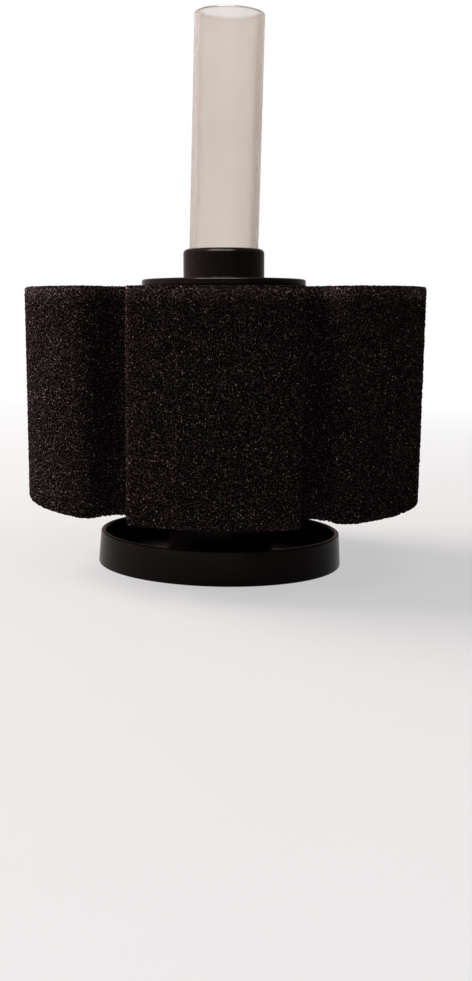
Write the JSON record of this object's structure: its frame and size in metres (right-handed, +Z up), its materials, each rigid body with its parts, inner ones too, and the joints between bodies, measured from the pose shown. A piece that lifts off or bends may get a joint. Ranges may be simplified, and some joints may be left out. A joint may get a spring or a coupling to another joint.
{
  "type": "aquarium sponge filter",
  "caption": "Air-driven sponge filter: a lobed foam block on a slotted core, held between a weighted round dish and a flanged cap with an upright lift tube.",
  "frame": {"origin": "middle of the dish's underside, where the filter stands", "axes": "+Z up along the lift tube, which is the axis of every round piece; -Y faces the viewer of the picture"},
  "size_m": [0.1148, 0.1156, 0.1577],
  "materials": {
    "black_plastic": "gloss",
    "core_plastic": "satin",
    "cover_plastic": "satin",
    "foam": "open-cell foam",
    "milky_plastic": "milky translucent",
    "steel": "bare",
    "stone": "porous",
    "nipple_plastic": "satin"
  },
  "bodies": {
    "base": {"base_dish": "black_plastic", "base_cover": "cover_plastic", "ballast_ring": "steel", "air_stone": "stone", "air_nipple": "nipple_plastic"},
    "core": {"strainer_core": "core_plastic"},
    "foam": {"sponge": "foam"},
    "cap": {"top_cap": "black_plastic"},
    "tube": {"lift_tube": "milky_plastic"}
  },
  "joints": [
    {"name": "core_lift", "type": "slide", "parent": "base", "child": "core", "axis": [0, 0, 1], "range_m": [0, 0.04]},
    {"name": "sponge_turn", "type": "hinge", "parent": "core", "child": "foam", "pos_m": [0, 0, 0.05], "axis": [0, 0, 1], "continuous": true},
    {"name": "cap_lift", "type": "slide", "parent": "core", "child": "cap", "axis": [0, 0, 1], "range_m": [0, 0.025]},
    {"name": "tube_slide", "type": "slide", "parent": "cap", "child": "tube", "axis": [0, 0, 1], "range_m": [0, 0.025]}
  ]
}
